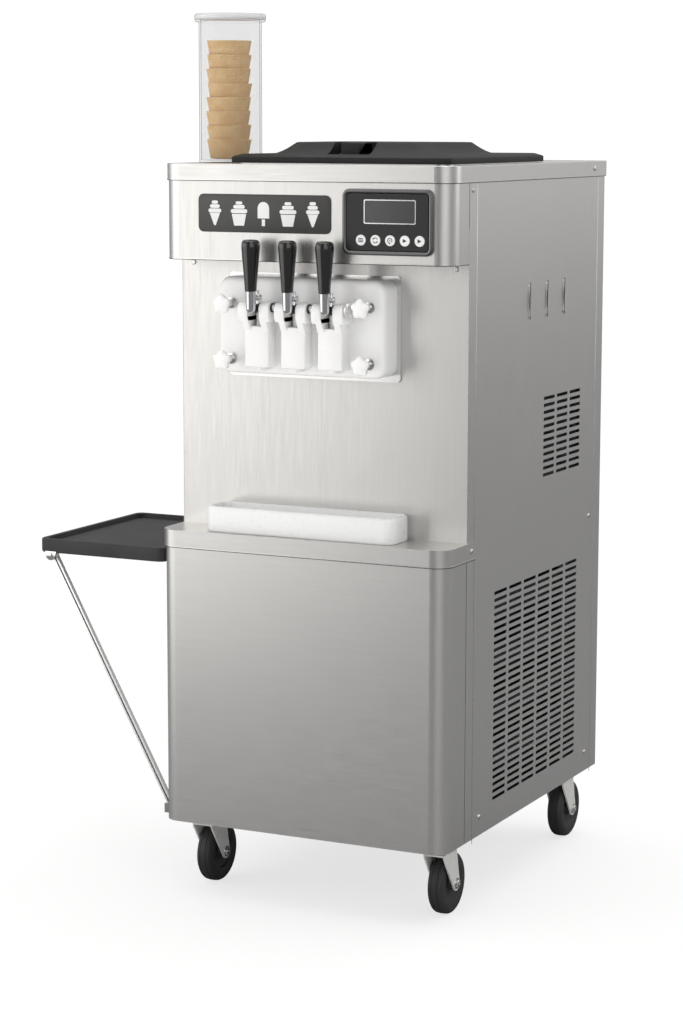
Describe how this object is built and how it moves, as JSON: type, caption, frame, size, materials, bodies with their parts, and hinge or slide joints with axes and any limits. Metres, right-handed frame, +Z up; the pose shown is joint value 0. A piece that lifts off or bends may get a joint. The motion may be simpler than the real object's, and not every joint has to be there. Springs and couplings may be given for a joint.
{
  "type": "soft-serve ice cream maker",
  "caption": "Floor-standing soft-serve ice cream maker in brushed steel with draw levers, drip tray, cone tube, folding side shelf and casters.",
  "frame": {"origin": "bottom centre of the whole machine's box, on the floor", "axes": "+Z up, +Y from the customer's side to the rear, +X to the customer's right"},
  "size_m": [0.83, 0.765, 1.558],
  "materials": {
    "stainless": "brushed stainless steel",
    "galvanised_steel": "plain galvanised sheet",
    "screw_steel": "bright screw heads",
    "polished_steel": "finely brushed stainless steel",
    "zinc_steel": "bright zinc plate",
    "chrome": "bright chrome",
    "fin_aluminium": "plain aluminium fins",
    "machine_paint": "black machine paint",
    "white_plastic": "food-grade white, satin gloss",
    "button_white": "white key caps",
    "grip_black": "glossy black phenolic",
    "black_plastic": "matt black",
    "lid_black": "fine-grained charcoal black",
    "plate_grey": "dark grey name plate",
    "bezel_grey": "satin grey bezel",
    "control_black": "black control overlay",
    "clear_plastic": "clear acrylic",
    "shelf_grey": "dark grey textured plastic",
    "wheel_rubber": "black rubber"
  },
  "bodies": {
    "cabinet": {"base_plate": "galvanised_steel", "corner_posts": "stainless", "lower_front_panel": "stainless", "ledge": "stainless", "upper_front_panel": "stainless", "header_panel": "stainless", "top_cover": "stainless", "side_panel_right": "stainless", "side_panel_left": "stainless", "rear_panel": "stainless", "panel_screws": "screw_steel", "power_gland": "black_plastic", "inner_frame": "galvanised_steel", "freezing_cylinders": "stainless", "gear_motors": "machine_paint", "compressor": "machine_paint", "condenser": "fin_aluminium", "head_frame": "polished_steel", "head_block": "white_plastic", "pivot_shaft": "white_plastic", "nameplate": "plate_grey", "control_bezel": "bezel_grey", "control_face": "control_black", "mix_hopper": "stainless", "shelf_brackets": "polished_steel", "caster_plates": "zinc_steel"},
    "lid": {"hopper_lid": "lid_black"},
    "dispenser_tube": {"cone_tube": "clear_plastic"},
    "tray": {"drip_tray": "white_plastic"},
    "shelf": {"shelf_tray": "shelf_grey"},
    "strut": {"shelf_strut": "chrome"},
    "fan": {"condenser_fan": "black_plastic"},
    "beater_left": {"beater_left": "white_plastic"},
    "beater_right": {"beater_right": "white_plastic"},
    "lever_left": {"lever_left": "chrome", "grip_left": "grip_black"},
    "plunger_left": {"plunger_left": "white_plastic"},
    "lever_middle": {"lever_middle": "chrome", "grip_middle": "grip_black"},
    "plunger_middle": {"plunger_middle": "white_plastic"},
    "lever_right": {"lever_right": "chrome", "grip_right": "grip_black"},
    "plunger_right": {"plunger_right": "white_plastic"},
    "knob_top_left": {"knob_top_left": "white_plastic"},
    "knob_top_right": {"knob_top_right": "white_plastic"},
    "knob_bottom_left": {"knob_bottom_left": "white_plastic"},
    "knob_bottom_right": {"knob_bottom_right": "white_plastic"},
    "button_menu": {"button_menu": "button_white"},
    "button_mode": {"button_mode": "button_white"},
    "button_cycle": {"button_cycle": "button_white"},
    "button_start_left": {"button_start_left": "button_white"},
    "button_start_right": {"button_start_right": "button_white"},
    "fork_front_left": {"fork_front_left": "zinc_steel"},
    "wheel_front_left": {"wheel_front_left": "wheel_rubber"},
    "fork_front_right": {"fork_front_right": "zinc_steel"},
    "wheel_front_right": {"wheel_front_right": "wheel_rubber"},
    "fork_rear_left": {"fork_rear_left": "zinc_steel"},
    "wheel_rear_left": {"wheel_rear_left": "wheel_rubber"},
    "fork_rear_right": {"fork_rear_right": "zinc_steel"},
    "wheel_rear_right": {"wheel_rear_right": "wheel_rubber"}
  },
  "joints": [
    {"name": "lid_lift", "type": "slide", "parent": "cabinet", "child": "lid", "axis": [0, 0, 1], "range_m": [0, 0.3]},
    {"name": "tube_lift", "type": "slide", "parent": "cabinet", "child": "dispenser_tube", "axis": [0, 0, 1], "range_m": [0, 0.15]},
    {"name": "tray_pull", "type": "slide", "parent": "cabinet", "child": "tray", "axis": [0, -1, 0], "range_m": [0, 0.15]},
    {"name": "shelf_fold", "type": "hinge", "parent": "cabinet", "child": "shelf", "pos_m": [-0.148, -0.137, 0.622], "axis": [0, 1, 0], "range_deg": [0, 90]},
    {"name": "strut_fold", "type": "hinge", "parent": "shelf", "child": "strut", "pos_m": [-0.392, -0.2995, 0.59], "axis": [0, 1, 0], "range_deg": [-63.36, 2]},
    {"name": "fan_spin", "type": "hinge", "parent": "cabinet", "child": "fan", "pos_m": [0.305, 0.063, 0.3395], "axis": [1, 0, 0], "continuous": true},
    {"name": "beater_left_spin", "type": "hinge", "parent": "cabinet", "child": "beater_left", "pos_m": [0.046, -0.1345, 1.02], "axis": [0, 1, 0], "continuous": true},
    {"name": "beater_right_spin", "type": "hinge", "parent": "cabinet", "child": "beater_right", "pos_m": [0.196, -0.1345, 1.02], "axis": [0, 1, 0], "continuous": true},
    {"name": "lever_left_pull", "type": "hinge", "parent": "cabinet", "child": "lever_left", "pos_m": [0.051, -0.3465, 1.058], "axis": [1, 0, 0], "range_deg": [0, 55]},
    {"name": "plunger_left_lift", "type": "slide", "parent": "cabinet", "child": "plunger_left", "axis": [0, 0, 1], "range_m": [0, 0.015]},
    {"name": "lever_middle_pull", "type": "hinge", "parent": "cabinet", "child": "lever_middle", "pos_m": [0.121, -0.3465, 1.058], "axis": [1, 0, 0], "range_deg": [0, 55]},
    {"name": "plunger_middle_lift", "type": "slide", "parent": "cabinet", "child": "plunger_middle", "axis": [0, 0, 1], "range_m": [0, 0.015]},
    {"name": "lever_right_pull", "type": "hinge", "parent": "cabinet", "child": "lever_right", "pos_m": [0.191, -0.3465, 1.058], "axis": [1, 0, 0], "range_deg": [0, 55]},
    {"name": "plunger_right_lift", "type": "slide", "parent": "cabinet", "child": "plunger_right", "axis": [0, 0, 1], "range_m": [0, 0.015]},
    {"name": "knob_top_left_turn", "type": "hinge", "parent": "cabinet", "child": "knob_top_left", "pos_m": [-0.011, -0.3565, 1.062], "axis": [0, 1, 0], "continuous": true},
    {"name": "knob_top_right_turn", "type": "hinge", "parent": "cabinet", "child": "knob_top_right", "pos_m": [0.253, -0.3565, 1.062], "axis": [0, 1, 0], "continuous": true},
    {"name": "knob_bottom_left_turn", "type": "hinge", "parent": "cabinet", "child": "knob_bottom_left", "pos_m": [-0.011, -0.3565, 0.966], "axis": [0, 1, 0], "continuous": true},
    {"name": "knob_bottom_right_turn", "type": "hinge", "parent": "cabinet", "child": "knob_bottom_right", "pos_m": [0.253, -0.3565, 0.966], "axis": [0, 1, 0], "continuous": true},
    {"name": "button_menu_press", "type": "slide", "parent": "cabinet", "child": "button_menu", "axis": [0, 1, 0], "range_m": [0, 0.001], "stiffness_N_per_m": 400},
    {"name": "button_mode_press", "type": "slide", "parent": "cabinet", "child": "button_mode", "axis": [0, 1, 0], "range_m": [0, 0.001], "stiffness_N_per_m": 400},
    {"name": "button_cycle_press", "type": "slide", "parent": "cabinet", "child": "button_cycle", "axis": [0, 1, 0], "range_m": [0, 0.001], "stiffness_N_per_m": 400},
    {"name": "button_start_left_press", "type": "slide", "parent": "cabinet", "child": "button_start_left", "axis": [0, 1, 0], "range_m": [0, 0.001], "stiffness_N_per_m": 400},
    {"name": "button_start_right_press", "type": "slide", "parent": "cabinet", "child": "button_start_right", "axis": [0, 1, 0], "range_m": [0, 0.001], "stiffness_N_per_m": 400},
    {"name": "caster_front_left_swivel", "type": "hinge", "parent": "cabinet", "child": "fork_front_left", "pos_m": [-0.094, -0.2645, 0.114], "axis": [0, 0, 1], "continuous": true},
    {"name": "wheel_front_left_roll", "type": "hinge", "parent": "fork_front_left", "child": "wheel_front_left", "pos_m": [-0.094, -0.2345, 0.055], "axis": [1, 0, 0], "continuous": true},
    {"name": "caster_front_right_swivel", "type": "hinge", "parent": "cabinet", "child": "fork_front_right", "pos_m": [0.364, -0.2645, 0.114], "axis": [0, 0, 1], "continuous": true},
    {"name": "wheel_front_right_roll", "type": "hinge", "parent": "fork_front_right", "child": "wheel_front_right", "pos_m": [0.364, -0.2345, 0.055], "axis": [1, 0, 0], "continuous": true},
    {"name": "caster_rear_left_swivel", "type": "hinge", "parent": "cabinet", "child": "fork_rear_left", "pos_m": [-0.094, 0.2975, 0.114], "axis": [0, 0, 1], "continuous": true},
    {"name": "wheel_rear_left_roll", "type": "hinge", "parent": "fork_rear_left", "child": "wheel_rear_left", "pos_m": [-0.094, 0.3275, 0.055], "axis": [1, 0, 0], "continuous": true},
    {"name": "caster_rear_right_swivel", "type": "hinge", "parent": "cabinet", "child": "fork_rear_right", "pos_m": [0.364, 0.2975, 0.114], "axis": [0, 0, 1], "continuous": true},
    {"name": "wheel_rear_right_roll", "type": "hinge", "parent": "fork_rear_right", "child": "wheel_rear_right", "pos_m": [0.364, 0.3275, 0.055], "axis": [1, 0, 0], "continuous": true}
  ],
  "couplings": [
    {"joint": "strut_fold", "follows": "shelf_fold", "ratio": -0.68181},
    {"joint": "plunger_left_lift", "follows": "lever_left_pull", "m_per_rad": 0.01536},
    {"joint": "plunger_middle_lift", "follows": "lever_middle_pull", "m_per_rad": 0.01536},
    {"joint": "plunger_right_lift", "follows": "lever_right_pull", "m_per_rad": 0.01536}
  ]
}
